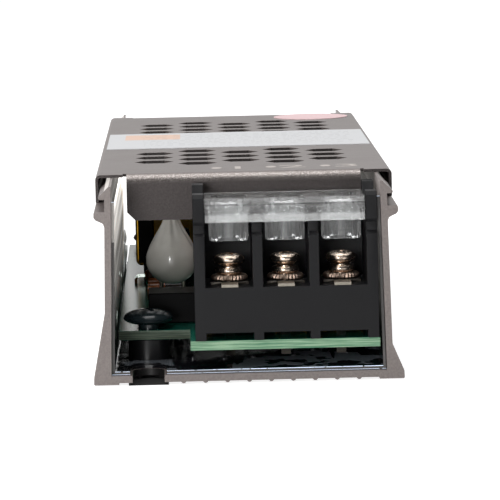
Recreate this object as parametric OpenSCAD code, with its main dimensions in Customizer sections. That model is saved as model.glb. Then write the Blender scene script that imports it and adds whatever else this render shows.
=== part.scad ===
// Long, low switching power supply: an extruded tray with a push-fit vented cover,
// one circuit board and a screw terminal block in an open bay at each end.
// Millimetres. X across the width, Y along the length, Z up from the table. Lengths count from the
// input end, and the finished pieces are moved so that the origin is the middle of the base.

/* [Chassis] */
// Length of the extruded tray
chassis_len = 172; // [172:1:220]
// Width over the two feet
foot_span = 52.4; // [51.6:0.1:56]
// Outside width of the two walls, at the table
wall_span = 48.7; // [48.7:0.1:49.3]
// Lean of each wall towards the middle, degrees
wall_lean = 1.17; // [0.9:0.01:1.3]
// Thickness of each wall
wall_t = 1.1; // [0.8:0.1:1.1]
// Thickness of the floor
floor_t = 1.2; // [1:0.1:1.8]
// Height of the ribs under the floor
rib_h = 0.3; // [0.2:0.05:0.6]
// Distance between two ribs
rib_pitch = 3.7; // [3:0.1:5]
// Height of the left foot, where it leaves the wall
left_foot_h = 12.2; // [8:0.1:16]
// Height of the right foot, where it leaves the wall
right_foot_h = 5.95; // [4:0.05:9]
// Height of the walls
wall_h = 33.5; // [32:0.1:38]
// Width of the open mounting slot at each end
slot_w = 5.4; // [5.2:0.1:6]
// Length of the open mounting slot
slot_len = 8.6; // [6:0.1:9]
// Distance of the slots and the end posts from the middle
post_x = 17; // [16:0.1:17.4]

/* [Cover] */
// Thickness of the cover's sheet
cover_t = 0.5; // [0.4:0.05:0.8]
// Gap between the cover's sides and the barbs of the walls
cover_gap = 0.35; // [0.2:0.05:0.4]
// Length of the open bay at each end
bay = 17; // [17:0.1:19]
// Width of the end flange
flange_w = 40.4; // [34:0.1:42]
// Depth of the end flange, from the cover's top
flange_drop = 8; // [6:0.1:8.4]
// Width of one vent across its flats
vent_flats = 6.1; // [4:0.1:6.4]
// Distance between two vent columns
vent_pitch = 7.77; // [7.4:0.01:8]
// Side of the label along the length
label_len = 36; // [30:0.5:36]
// Diameter of the round sticker
sticker_d = 15.3; // [10:0.1:16]

/* [Board] */
// Thickness of the circuit board
board_t = 1.6; // [1.2:0.1:2]
// Width of the circuit board
board_w = 44.4; // [43.2:0.1:44.6]
// Height of the board above the floor
board_gap = 3.95; // [3.8:0.05:4.6]
// Thickness of the insulating film
film_t = 0.5; // [0.2:0.05:0.5]

/* [Terminals] */
// Distance between two terminals
pole_pitch = 9.5; // [9.4:0.05:9.6]
// Terminals on the input block
input_poles = 3; // [3:1:3]
// Terminals on the output block
output_poles = 2; // [2:1:2]
// Depth of a terminal block from front to back
block_depth = 16.2; // [15.8:0.1:16.3]
// Height of the wall in front of the screws, above the board
sill_h = 9; // [8:0.1:9.4]
// Diameter of a terminal screw's head
head_d = 5.3; // [4.8:0.1:5.6]
// Outside width of one guide box of the clear lid
guide_w = 6.7; // [6.2:0.1:6.9]

/* [Hidden] */

cut = 1;                                  // overshoot of a cutter past a face
floor_z = rib_h + floor_t;                // top of the floor
board_z = floor_z + board_gap;            // underside of the board
top_z = board_z + board_t;                // top of the board
mid_y = chassis_len / 2;

// walls
ledge_drop = 4.2;                         // cover's ledge, below the walls' top
groove_drop = 2.15;                       // underside of the barb, below the walls' top
barb_out = 1;                             // how far the barb stands out of the wall
shoulder_out = 1.82;                      // how far the shoulder stands out of the wall
ledge_z = wall_h - ledge_drop;
barb_z = wall_h - groove_drop;
foot_lip = 1.35;                          // upright edge of a foot
function wall_x(z) = wall_span / 2 - z * tan(wall_lean);
barb_x = wall_x(barb_z) + barb_out;
shoulder_x = wall_x(ledge_z) + shoulder_out;

// cover
cover_in = barb_x + cover_gap;            // inside face of the cover's sides
cover_x = cover_in + cover_t;
cover_z = wall_h + 0.05;                  // underside of the cover
lid_z = cover_z + cover_t;                // top of the cover
cover_r = 0.9;                            // outside radius of the long bends
bend_r = 1.7;                             // outside radius of the end bends
vent_row = vent_pitch / cos(30);
vent_mid = 33.7;                          // middle of a vent group, from the cover's edge
flange_chamfer = 1.45;
paper_t = 0.12;                           // thickness of the label and the sticker
sticker_edge = 0.8;                       // sticker's edge from the long bend

film_edge = 0.4;                          // film's cut-out, beyond the slot

// board fixing
standoff_d = 7.2;
standoff_bore = 3.6;
collar_h = 0.2;                           // washer under a board screw's head
post_y = bay + 2.3;                       // end posts, from the chassis's end
inner_y = 38;                             // inner posts, from the chassis's end
inner_x = post_x - 1.5;                   // inner posts, from the middle
screw_pos = [[-post_x, post_y], [inner_x, inner_y],
             [-post_x, chassis_len - post_y], [inner_x, chassis_len - inner_y]];
board_notch = bay - 1.2;                  // depth of the board's cut-back corner
tongue_x = board_w / 2 - 32;              // inside edge of the board's tongues, from the middle
board_set = 0.4;                          // board's edge behind the chassis's end

// terminal blocks, in their own frame: X from the middle, Y from the front, Z from the board
block_set = 0.15;                         // a block's side from the board's edge
end_post = 1.9;
mid_post = 1.7;
foot_h = 1.3;
plate_t = 0.5;
square_t = 1.1;
spring_t = 1.2;
head_h = 2.35;
post_step = 2.4;                          // set-back of an inner post's top
washer_z = sill_h + plate_t;
spring_z = washer_z + square_t;
head_z = spring_z + spring_t;
screw_y = 7;
shank_r = 1.5;
leg_y = 10.9;
post_h = 19.8;                            // top of the inner posts
back_t = 1.5;
hinge_y = block_depth - 2.5;
hinge_z = 22;
hinge_r = 0.8;
hinge_play = 0.1;
lid_t = 1.2;
lid_top = 23.8;
lid_play = 0.15;
guide_drop = 3.3;                         // guide's lower end, below the posts' tops
function block_w(n) = n * pole_pitch + 2.5;
function pole_x(i, n) = (i - (n - 1) / 2) * pole_pitch;
input_x = board_w / 2 - block_set - block_w(input_poles) / 2;
output_x = board_w / 2 - block_set - block_w(output_poles) / 2;

// ---------- shared shapes ----------

module box(low, high) {
    translate(low) cube(high - low);
}

// Puts the origin at the middle of the base.
module from_middle() {
    translate([0, -mid_y, 0]) children();
}

// A rod from z0 to z1 standing at p.
module rod(p, d, z0, z1, sides = 16) {
    translate([p[0], p[1], z0]) cylinder(d = d, h = z1 - z0, $fn = sides);
}

// Extrudes a section drawn in X and Z along Y, from y0 to y1.
module along(y0, y1) {
    translate([0, y1, 0]) rotate([90, 0, 0]) linear_extrude(y1 - y0) children();
}

// Extrudes an outline drawn in Y and Z along X, from x0 to x1.
module across(x0, x1) {
    translate([x0, 0, 0]) rotate([90, 0, 90]) linear_extrude(x1 - x0) children();
}

// Draws its child at the input end and again, mirrored, at the output end.
module both_ends() {
    children();
    translate([0, chassis_len, 0]) mirror([0, 1, 0]) children();
}

module at_input() {
    translate([input_x, 0, top_z]) children();
}

module at_output() {
    translate([output_x, chassis_len, top_z]) rotate(180) children();
}

// A domed head with a cross recess, standing on z = 0.
module pan_head(d, h, recess, dome = 0.85) {
    difference() {
        intersection() {
            cylinder(d = d, h = h, $fn = 32);
            translate([0, 0, h - d * dome]) sphere(r = d * dome, $fn = 48);
        }
        for (a = [0, 90])
            rotate(a) translate([-recess / 2, -d * 0.07, h * 0.5])
                cube([recess, d * 0.14, h]);
    }
}

// ---------- case ----------

pad_x = wall_x(0) - 2.4;                  // inside edge of the pad under a wall

// One wall with its foot, shoulder and barb, on the side of positive X, from the pad upwards.
function wall_points(foot_h, foot_w) = [
    [pad_x, rib_h],
    [pad_x, 0],
    [foot_w - 0.15, 0],
    [foot_w, 0.15],
    [foot_w - 0.05, foot_lip],
    [wall_x(foot_h), foot_h],
    [wall_x(ledge_z - 2.6), ledge_z - 2.6],
    [wall_x(ledge_z) + 0.25, ledge_z - 2],
    [wall_x(ledge_z) + 0.8, ledge_z - 1.7],
    [shoulder_x - 0.35, ledge_z - 1.4],
    [shoulder_x, ledge_z - 1],
    [shoulder_x, ledge_z - 0.3],
    [shoulder_x - 0.15, ledge_z],
    [wall_x(ledge_z), ledge_z],
    [wall_x(barb_z), barb_z],
    [barb_x - 0.15, barb_z],
    [barb_x, barb_z + 0.2],
    [barb_x, barb_z + 0.4],
    [barb_x - (groove_drop - 0.4), wall_h],
    [wall_x(wall_h) - wall_t, wall_h],
    [wall_x(floor_z) - wall_t, floor_z]
];

function mirrored(points) = [for (i = [len(points) - 1 : -1 : 0]) [-points[i][0], points[i][1]]];

module chassis_section() {
    polygon(concat(wall_points(right_foot_h, foot_span / 2),
                   mirrored(wall_points(left_foot_h, foot_span / 2))));
    for (i = [-5 : 5]) translate([i * rib_pitch, 0.45]) circle(d = 0.9, $fn = 12);
}

module chassis() {
    color([0.48, 0.45, 0.44]) difference() {
        along(0, chassis_len) chassis_section();
        both_ends() {
            rod([-post_x, slot_len - slot_w / 2], slot_w, -cut, floor_z + cut, 32);
            box([-post_x - slot_w / 2, -cut, -cut],
                [-post_x + slot_w / 2, slot_len - slot_w / 2, floor_z + cut]);
        }
    }
}

// A rectangle from the bottom up, with both top corners rounded.
module arch(half, bottom, top, r) {
    translate([-half, bottom]) square([2 * half, top - r - bottom]);
    translate([r - half, top - r - 0.01]) square([2 * (half - r), r + 0.01]);
    for (s = [-1, 1]) translate([s * (half - r), top - r]) circle(r = r, $fn = 32);
}

module cover_section() {
    difference() {
        arch(cover_x, ledge_z, lid_z, cover_r);
        arch(cover_in, ledge_z - cut, cover_z, cover_r - cover_t);
    }
}

// The turned-down flange at one end, with its bend.
module end_flange() {
    half = flange_w / 2;
    low = lid_z - flange_drop;
    across(-half, half) translate([bay + bend_r, lid_z - bend_r]) intersection() {
        difference() {
            circle(r = bend_r, $fn = 48);
            circle(r = bend_r - cover_t, $fn = 48);
        }
        translate([-bend_r, -0.02]) square(bend_r + 0.04);
    }
    along(bay, bay + cover_t) polygon([
        [-half, lid_z - bend_r], [-half, low + flange_chamfer], [flange_chamfer - half, low],
        [half - flange_chamfer, low], [half, low + flange_chamfer], [half, lid_z - bend_r]
    ]);
}

// Vents in five columns of three and four.
module vent_group() {
    for (c = [-2 : 2], r = [0 : 3])
        if (c % 2 != 0 || r < 3)
            translate([c * vent_pitch, bay + vent_mid + (r - (c % 2 == 0 ? 1 : 1.5)) * vent_row,
                       cover_z - cut])
                cylinder(d = vent_flats / cos(30), h = cover_t + 2 * cut, $fn = 6);
}

// Small cones pressed in from the cover's sides, which catch under the barbs.
module snap_dimples() {
    for (y = [bay + 12, mid_y, chassis_len - bay - 12], s = [-1, 1])
        translate([s * (cover_in + 0.1), y, (ledge_z + barb_z) / 2]) rotate([0, -s * 90, 0])
            cylinder(r1 = 0.75, r2 = 0.4, h = 0.8, $fn = 20);
}

module case_cover() {
    half = flange_w / 2 + 0.6;
    color([0.36, 0.33, 0.32]) {
        difference() {
            along(bay, chassis_len - bay) cover_section();
            both_ends() {
                box([-half, bay - cut, cover_z - cut], [half, bay + bend_r, lid_z + cut]);
                vent_group();
            }
        }
        both_ends() end_flange();
        snap_dimples();
    }
}

module film_section() {
    gap = 0.05;
    top = wall_h - 2.7;
    low = wall_x(floor_z) - wall_t - gap;
    high = wall_x(top) - wall_t - gap;
    polygon([
        [-low, floor_z], [low, floor_z], [high, top], [high - film_t, top],
        [low - film_t, floor_z + film_t], [-low + film_t, floor_z + film_t],
        [-high + film_t, top], [-high, top]
    ]);
}

module insulation_film() {
    color([0.03, 0.03, 0.035]) difference() {
        along(1.6, chassis_len - 1.6) film_section();
        both_ends() {
            rod([-post_x, slot_len - slot_w / 2], slot_w + 2 * film_edge, 0, floor_z + film_t + cut, 40);
            box([-post_x - slot_w / 2 - film_edge, 0, 0],
                [-post_x + slot_w / 2 + film_edge, slot_len - slot_w / 2, floor_z + film_t + cut]);
        }
        for (p = screw_pos) rod(p, standoff_d + 1, 0, floor_z + film_t + cut, 32);
    }
}

module rating_label() {
    color([0.9, 0.89, 0.87])
        translate([cover_r - cover_x, mid_y + 3 - label_len / 2, lid_z])
            cube([2 * (cover_x - cover_r), label_len, paper_t]);
}

module round_sticker() {
    color([0.9, 0.72, 0.74])
        rod([cover_x - cover_r - sticker_d / 2 - sticker_edge, chassis_len - bay - sticker_d / 2 - 2],
            sticker_d, lid_z, lid_z + paper_t, 48);
}

// ---------- board ----------

module board_outline() {
    half = board_w / 2;
    far = chassis_len - board_set;
    polygon([
        [-half, board_notch], [tongue_x, board_notch], [tongue_x, board_set], [half, board_set],
        [half, far], [tongue_x, far], [tongue_x, chassis_len - board_notch],
        [-half, chassis_len - board_notch]
    ]);
}

// Calls its child at the foot of each terminal's leg.
module each_leg() {
    at_input() for (i = [0 : input_poles - 1])
        translate([pole_x(i, input_poles), leg_y, 0]) children();
    at_output() for (i = [0 : output_poles - 1])
        translate([pole_x(i, output_poles), leg_y, 0]) children();
}

module main_board() {
    color([0.1, 0.32, 0.24]) difference() {
        translate([0, 0, board_z]) linear_extrude(board_t) board_outline();
        for (p = screw_pos) rod(p, standoff_bore + 0.4, board_z - cut, top_z + cut, 24);
        each_leg() translate([0, 0, -board_t - cut]) cylinder(d = 2.1, h = board_t + 2 * cut, $fn = 16);
    }
}

module board_standoffs() {
    color([0.05, 0.05, 0.06]) for (p = screw_pos) difference() {
        rod(p, standoff_d, floor_z, board_z, 32);
        rod(p, standoff_bore + 0.2, floor_z + 0.6, board_z + cut, 24);
    }
}

module board_screws() {
    color([0.06, 0.06, 0.07]) for (p = screw_pos) {
        rod(p, standoff_d, top_z, top_z + collar_h, 32);
        translate([p[0], p[1], top_z + collar_h - 0.05]) pan_head(8.7, 3.35, 4.6, 0.62);
        rod(p, standoff_bore, board_z - 3, top_z + 0.1, 24);
    }
}

// ---------- terminal blocks ----------

// Outline of an inner post in Y and Z: stepped back near its top.
module mid_post_outline() {
    polygon([
        [0, 0], [0, post_h - 2.2], [post_step, post_h - 1.8], [post_step, post_h],
        [block_depth, post_h], [block_depth, 0]
    ]);
}

// The outside post of a block carries an ear at the front and one at the back.
module end_post_outline() {
    polygon([
        [0, 0], [0, post_h - 2.2], [0.9, post_h - 1.7], [0.9, post_h - 0.3], [0.3, post_h + 0.3],
        [0.3, post_h + 4.2], [1, post_h + 4.9], [4, post_h + 4.9], [5.2, post_h + 3.4],
        [hinge_y - 3.2, post_h + 3.4], [hinge_y - 1.8, post_h + 5.6], [block_depth - 0.7, post_h + 5.6],
        [block_depth, post_h + 4.9], [block_depth, 0]
    ]);
}

module terminal_block(n) {
    half = block_w(n) / 2;
    difference() {
        union() {
            box([-half, 0, foot_h], [half, block_depth, sill_h]);
            box([-half, block_depth - back_t, foot_h], [half, block_depth, post_h]);
            for (x = [-half, half - end_post]) across(x, x + end_post) end_post_outline();
            for (i = [1 : n - 1]) {
                x = pole_x(i, n) - (pole_pitch + mid_post) / 2;
                across(x, x + mid_post) mid_post_outline();
            }
        }
        for (i = [0 : n - 1]) {
            rod([pole_x(i, n), screw_y], 2 * shank_r + 0.8, sill_h - 6, sill_h + cut, 20);
            box([pole_x(i, n) - 0.95, leg_y - 0.55, foot_h - cut],
                [pole_x(i, n) + 0.95, leg_y + 0.55, sill_h + cut]);
        }
        translate([-half - cut, hinge_y, hinge_z]) rotate([0, 90, 0])
            cylinder(r = hinge_r + hinge_play, h = 2 * half + 2 * cut, $fn = 24);
    }
}

module terminal_plates(n) {
    for (i = [0 : n - 1]) translate([pole_x(i, n), 0, sill_h]) {
        difference() {
            union() {
                box([-3.2, 4.3, 0], [3.2, 13.2, plate_t]);
                box([-1.42, 0.1, 0], [1.42, 4.4, plate_t]);
            }
            rod([0, screw_y], 2 * shank_r + 0.3, -cut, plate_t + cut, 24);
        }
        box([-0.8, leg_y - 0.4, -sill_h - board_t - 2.3], [0.8, leg_y + 0.4, 0]);
    }
}

module square_washers(n) {
    for (i = [0 : n - 1]) translate([pole_x(i, n), screw_y, washer_z]) difference() {
        intersection() {
            translate([-3.15, -3.15, 0]) cube([6.3, 6.3, square_t]);
            cylinder(d = 7.3, h = square_t, $fn = 40);
        }
        translate([0, 0, -cut]) cylinder(r = shank_r + 0.15, h = square_t + 2 * cut, $fn = 24);
    }
}

module spring_washers(n) {
    for (i = [0 : n - 1]) translate([pole_x(i, n), screw_y, spring_z]) difference() {
        cylinder(d = head_d - 0.5, h = spring_t, $fn = 32);
        translate([0, 0, -cut]) cylinder(r = shank_r + 0.15, h = spring_t + 2 * cut, $fn = 24);
        rotate(40) translate([0, -0.2, -cut]) cube([head_d, 0.4, spring_t + 2 * cut]);
    }
}

module terminal_screws(n) {
    for (i = [0 : n - 1]) translate([pole_x(i, n), screw_y, 0]) {
        translate([0, 0, head_z]) rotate(20 + 35 * i) pan_head(head_d, head_h, 3.6);
        translate([0, 0, sill_h - 4.5]) cylinder(r = shank_r, h = head_z - sill_h + 4.6, $fn = 24);
    }
}

// Clear lid: a plate with a bar at its front and a square guide over each screw.
module terminal_lid(n) {
    half = block_w(n) / 2 - end_post - lid_play;
    difference() {
        union() {
            across(-half, half) polygon([
                [0.9, post_h + 0.1], [2.3, post_h + 0.1], [2.3, lid_top - lid_t],
                [hinge_y - 1, lid_top - lid_t], [hinge_y + 1, hinge_z - 0.6],
                [hinge_y + 1, lid_top], [1.7, lid_top], [0.9, lid_top - 0.8]
            ]);
            for (i = [0 : n - 1])
                along(screw_y - guide_w / 2, screw_y + guide_w / 2)
                    translate([pole_x(i, n), 0]) mirror([0, 1])
                        arch(guide_w / 2, lid_t - lid_top - 0.1, guide_drop - post_h, 0.6);
            translate([-half - end_post + 0.3, hinge_y, hinge_z]) rotate([0, 90, 0])
                cylinder(r = hinge_r, h = 2 * (half + end_post - 0.3), $fn = 24);
        }
        for (i = [0 : n - 1])
            rod([pole_x(i, n), screw_y], guide_w - 0.8, post_h - guide_drop - cut, lid_top + cut, 32);
    }
}

module input_block() { color([0.09, 0.09, 0.1]) at_input() terminal_block(input_poles); }
module input_plates() { color([0.72, 0.7, 0.66]) at_input() terminal_plates(input_poles); }
module input_square_washers() { color([0.75, 0.7, 0.64]) at_input() square_washers(input_poles); }
module input_spring_washers() { color([0.6, 0.56, 0.5]) at_input() spring_washers(input_poles); }
module input_screws() { color([0.78, 0.74, 0.68]) at_input() terminal_screws(input_poles); }
module input_lid() { color([0.85, 0.87, 0.88, 0.4]) at_input() terminal_lid(input_poles); }
module output_block() { color([0.09, 0.09, 0.1]) at_output() terminal_block(output_poles); }
module output_plates() { color([0.72, 0.7, 0.66]) at_output() terminal_plates(output_poles); }
module output_square_washers() { color([0.75, 0.7, 0.64]) at_output() square_washers(output_poles); }
module output_spring_washers() { color([0.6, 0.56, 0.5]) at_output() spring_washers(output_poles); }
module output_screws() { color([0.78, 0.74, 0.68]) at_output() terminal_screws(output_poles); }
module output_lid() { color([0.85, 0.87, 0.88, 0.4]) at_output() terminal_lid(output_poles); }

// ---------- parts on the board ----------

// Rows near the input end follow the cover's edge, and the others share out the whole length.
bridge_y = bay + 8;
drop_y = bay + 29;
fuse_y = bay + 8;
choke_y = bay + 27;
thermistor_y = bay + 13.6;
bulk_y = 0.395 * chassis_len;
axial_y = 0.5 * chassis_len;
chip_y = 0.506 * chassis_len;
primary_y = 0.561 * chassis_len;          // middle of the primary heatsink
core_y = 0.622 * chassis_len;             // middle of the transformer
coupler_y = 0.623 * chassis_len;
y_capacitor_y = 0.651 * chassis_len;
inductor_y = 0.744 * chassis_len;
secondary_y = 0.849 * chassis_len;        // middle of the secondary heatsink
tall_h = cover_z - top_z - 1.6;           // top of the tallest part above the board
sink_h = tall_h - 2;
core_top = tall_h - 1.6;

rotor_r = 1.75;
trimmer_gap = 4.55;                       // trimmer's middle, from the output block
trimmer_x = output_x - block_w(output_poles) / 2 - trimmer_gap;
trimmer_pos = [trimmer_x, chassis_len - 5];
led_pos = [trimmer_x, chassis_len - 11.5];

module trimmer_body() {
    color([0.1, 0.25, 0.6]) translate([trimmer_pos[0], trimmer_pos[1], top_z]) difference() {
        box([-3.4, -3.4, 0], [3.4, 3.4, 4.4]);
        translate([0, 0, 3.4]) cylinder(r = rotor_r + 0.1, h = 1 + cut, $fn = 32);
        translate([0, 0, 2.4]) cylinder(r = 0.7, h = 1 + cut, $fn = 20);
    }
}

// The adjusting screw: a slotted disc on a short stem.
module trimmer_rotor() {
    color([0.85, 0.82, 0.75]) translate([trimmer_pos[0], trimmer_pos[1], top_z]) difference() {
        union() {
            translate([0, 0, 3.45]) cylinder(r = rotor_r, h = 1.25, $fn = 32);
            translate([0, 0, 2.5]) cylinder(r = 0.6, h = 1, $fn = 20);
        }
        box([-rotor_r - cut, -0.3, 4.1], [rotor_r + cut, 0.3, 4.7 + cut]);
    }
}

module status_led() {
    color([0.5, 0.85, 0.5]) translate([led_pos[0], led_pos[1], top_z]) {
        cylinder(d = 3.8, h = 1, $fn = 32);
        translate([0, 0, 0.9]) cylinder(d = 3, h = 2.6, $fn = 32);
        translate([0, 0, 3.5]) sphere(d = 3, $fn = 32);
    }
}

module bridge_rectifier() {
    color([0.06, 0.06, 0.07]) box([-17, bridge_y, top_z], [-7.6, bridge_y + 9.4, top_z + 5.3]);
}

// A disc on two leads, standing on the board and facing along Y.
module radial_disc(d, t, lead_x, lift) {
    translate([0, 0, lift + d / 2]) rotate([90, 0, 0])
        cylinder(d = d, h = t, center = true, $fn = 48);
    for (dx = [-lead_x, lead_x]) rod([dx, 0], 0.7, 0, lift + d * 0.3, 32);
}

// An axial capacitor lying just above the board.
module ceramic_capacitor() {
    body_z = 2;
    color([0.45, 0.2, 0.08]) translate([-16.6, axial_y, top_z]) {
        translate([0, 0, body_z]) rotate([0, 90, 0]) {
            cylinder(d = 2.3, h = 3.4, center = true, $fn = 32);
            cylinder(d = 0.6, h = 6.6, center = true, $fn = 24);
        }
        for (dx = [-3, 3]) rod([dx, 0], 0.8, 0, body_z + 0.4, 24);
    }
}

drop_pos = [-12.8, drop_y];
drop_z = 9.2;                             // middle of the drop above the board
drop_r = 4.7;

module sleeved_varistor() {
    color([0.62, 0.62, 0.6]) translate([drop_pos[0], drop_pos[1], top_z]) {
        rotate_extrude($fn = 40) intersection() {
            union() {
                translate([0, drop_z]) circle(r = drop_r, $fn = 48);
                polygon([
                    [0, drop_z], [drop_r * 0.94, drop_z + 1.6], [drop_r * 0.77, drop_z + 3.4],
                    [drop_r * 0.5, drop_z + 5.6], [drop_r * 0.33, drop_z + 7.1],
                    [drop_r * 0.24, drop_z + 9], [drop_r * 0.22, drop_z + 11], [0, drop_z + 11]
                ]);
            }
            square([drop_r + 1, 40]);
        }
        for (dx = [-2, 2]) rod([dx, 0], 0.8, 0, drop_z - drop_r + 1.6);
    }
}

module fuse() {
    color([0.08, 0.08, 0.09]) rod([-1.5, fuse_y], 8.4, top_z, top_z + 7.6, 40);
}

module x_capacitor() {
    color([0.75, 0.62, 0.2]) box([5, bay + 2.5, top_z], [20.5, bay + 10.5, top_z + 15]);
}

choke_pos = [2.6, choke_y];
choke_in = 4.4;                           // the choke's ring, inside and outside radius
choke_out = 8;
choke_half = 2.6;                         // half of the ring's thickness
wire_t = 0.95;
wind_play = 0.05;
choke_z = 12.6;                           // middle of the ring above the board

module ring(r_in, r_out, half) {
    rotate_extrude($fn = 48) translate([r_in, -half]) square([r_out - r_in, 2 * half]);
}

// One square turn of wire round a ring, reaching towards positive X.
module turn(r_in, r_out, half) {
    difference() {
        box([r_in - wire_t - wind_play, -wire_t / 2, -half - wire_t - wind_play],
            [r_out + wire_t + wind_play, wire_t / 2, half + wire_t + wind_play]);
        box([r_in - wind_play, -cut, -half - wind_play], [r_out + wind_play, cut, half + wind_play]);
    }
}

module choke_core() {
    color([0.12, 0.3, 0.2]) translate([choke_pos[0], choke_pos[1], top_z + choke_z])
        rotate([90, 0, 0]) ring(choke_in, choke_out, choke_half);
}

module choke_windings() {
    color([0.72, 0.38, 0.16]) translate([choke_pos[0], choke_pos[1], top_z + choke_z])
        rotate([90, 0, 0])
            for (bank = [0, 180], i = [-3 : 3])
                rotate(bank + i * 18) turn(choke_in, choke_out, choke_half);
}

module choke_base() {
    color([0.1, 0.1, 0.11]) translate([choke_pos[0], choke_pos[1], top_z])
        box([-8.5, -4.6, 0], [8.5, 4.6, choke_z - choke_out]);
}

module bulk_capacitor() {
    color([0.1, 0.1, 0.12]) translate([5.6, bulk_y, top_z]) {
        cylinder(d = 22, h = tall_h - 0.5, $fn = 64);
        translate([0, 0, tall_h - 0.6]) difference() {
            cylinder(d1 = 21.4, d2 = 20.4, h = 0.6, $fn = 64);
            for (a = [0 : 60 : 120]) rotate(a)
                translate([-7, -0.25, 0.3]) cube([14, 0.5, 1]);
        }
    }
}

// TO-220 package standing against a heatsink's face at x = 0, with its tab towards negative X.
module power_package() {
    box([0, -5, 3], [1.3, 5, 18.6]);
    box([1.3, -5, 3], [4.5, 5, 12.2]);
    for (dy = [-2.54, 0, 2.54]) box([2.4, dy - 0.4, 0], [3, dy + 0.4, 3.05]);
}

sink_t = 2;
sink_x = 18.6;
face_x = sink_x - sink_t / 2;             // the heatsinks' faces, towards the middle
primary_q_y = primary_y - 8.5;
tab_hole = 15.6;                          // hole in a package's tab, above the board
primary_half = 15.5;
secondary_half = 5.4;

// A plate along Y with a row of fins on its outer side.
module heatsink(y, half, fins, hole_y) {
    pitch = (2 * half - 3) / (fins - 1);
    translate([sink_x, y, top_z]) difference() {
        union() {
            box([-sink_t / 2, -half, 0], [sink_t / 2, half, sink_h]);
            for (i = [0 : fins - 1])
                box([0, 1 - half + i * pitch, 3], [2.4, 2 - half + i * pitch, sink_h]);
        }
        translate([-3, hole_y - y, tab_hole]) rotate([0, 90, 0]) cylinder(d = 2.7, h = 6, $fn = 20);
    }
}

// The package with its hole, against the heatsinks' face.
module mounted_package(y) {
    difference() {
        translate([face_x, y, top_z]) mirror([1, 0, 0]) power_package();
        translate([face_x - 6, y, top_z + tab_hole]) rotate([0, 90, 0])
            cylinder(d = 3.6, h = 7, $fn = 24);
    }
}

module primary_heatsink() {
    color([0.7, 0.7, 0.72]) heatsink(primary_y, primary_half, 8, primary_q_y);
}

module mosfet() {
    color([0.1, 0.1, 0.11]) mounted_package(primary_q_y);
}

module secondary_heatsink() {
    color([0.7, 0.7, 0.72]) heatsink(secondary_y, secondary_half, 4, secondary_y);
}

module output_diode() {
    color([0.1, 0.1, 0.11]) mounted_package(secondary_y);
}

module heatsink_screws() {
    color([0.75, 0.75, 0.77]) for (y = [primary_q_y, secondary_y])
        translate([face_x - 1.3, y, top_z + tab_hole]) rotate([0, -90, 0]) {
            pan_head(5.6, 2, 3);
            translate([0, 0, -2.9]) cylinder(d = 2.6, h = 3, $fn = 20);
        }
}

core_low = [-19.6, core_y - 10, 2.2];     // low corner of the transformer, above the board
core_high = [4.4, core_y + 10, core_top];
core_skin = 3;                            // thickness of the core's outer legs
winding_w = 5.4;                          // thickness of the winding round the middle leg
bobbin_t = 3.8;                           // thickness of each row of the bobbin's pins

module transformer_core() {
    x0 = core_low[0] + core_skin;
    x1 = core_high[0] - core_skin - winding_w;
    color([0.09, 0.09, 0.1]) translate([0, 0, top_z]) difference() {
        box([core_low[0], core_low[1] + bobbin_t + 0.2, core_low[2]],
            [core_high[0], core_high[1] - bobbin_t - 0.2, core_high[2]]);
        for (x = [x0, x1])
            box([x, core_low[1], core_low[2] + core_skin],
                [x + winding_w, core_high[1], core_high[2] - core_skin]);
    }
}

module transformer_bobbin() {
    color([0.12, 0.12, 0.13]) translate([0, 0, top_z])
        for (y = [core_low[1], core_high[1] - bobbin_t])
            box([core_low[0] + 1, y, 0], [core_high[0] - 1, y + bobbin_t, core_low[2] + 2]);
}

// The taped winding, a frame round the core's middle leg.
module transformer_winding() {
    out = core_skin + 0.1;
    leg = core_skin + winding_w - 0.1;
    color([0.85, 0.68, 0.2]) translate([0, 0, top_z]) difference() {
        box([core_low[0] + out, core_low[1] + 0.6, core_low[2] + out],
            [core_high[0] - out, core_high[1] - 0.6, core_high[2] - out]);
        box([core_low[0] + leg, core_low[1] + bobbin_t, 0],
            [core_high[0] - leg, core_high[1] - bobbin_t, core_high[2]]);
    }
}

// Output capacitors, as [X, share of the length].
cap_pos = [for (p = [[5.5, 0.721], [5.5, 0.791], [-6, 0.831]]) [p[0], p[1] * chassis_len]];

can_d = 10;                               // output capacitor, and its raised top
can_h = 20;
crown_d = can_d - 1;
crown_h = 0.3;

module output_capacitors() {
    color([0.15, 0.2, 0.4]) for (p = cap_pos) {
        rod(p, can_d, top_z, top_z + can_h, 40);
        rod(p, crown_d, top_z + can_h - 0.1, top_z + can_h + crown_h, 40);
    }
}

inductor_pos = [-9, inductor_y];
inductor_in = 4;
inductor_out = 7.4;
inductor_half = 3.2;
inductor_z = inductor_half + wire_t + wind_play;

module output_inductor_core() {
    color([0.75, 0.72, 0.25]) translate([inductor_pos[0], inductor_pos[1], top_z + inductor_z])
        ring(inductor_in, inductor_out, inductor_half);
}

module output_inductor_winding() {
    color([0.72, 0.36, 0.15]) translate([inductor_pos[0], inductor_pos[1], top_z + inductor_z])
        for (i = [0 : 11]) rotate(i * 30) turn(inductor_in, inductor_out, inductor_half);
}

module y_capacitor() {
    color([0.1, 0.3, 0.65]) translate([12, y_capacitor_y, top_z]) radial_disc(8, 3, 2.4, 1);
}

module optocoupler() {
    color([0.85, 0.85, 0.82]) box([8, coupler_y - 2.25, top_z],
                                 [14.4, coupler_y + 2.25, top_z + 3.6]);
}

module control_chip() {
    color([0.07, 0.07, 0.08]) box([-8, chip_y - 3, top_z], [-3, chip_y + 3, top_z + 1.6]);
}

module thermistor() {
    color([0.08, 0.3, 0.2]) translate([14.5, thermistor_y, top_z]) radial_disc(9, 3.4, 2.5, 1);
}

module resistors() {
    color([0.6, 0.55, 0.45]) for (p = [[-14, 0.349], [-14, 0.384], [-14, 0.419], [9.5, 0.674]])
        translate([p[0], p[1] * chassis_len, top_z + 1.3]) rotate([0, 90, 0])
            cylinder(d = 2.6, h = 7, center = true, $fn = 24);
}

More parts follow.
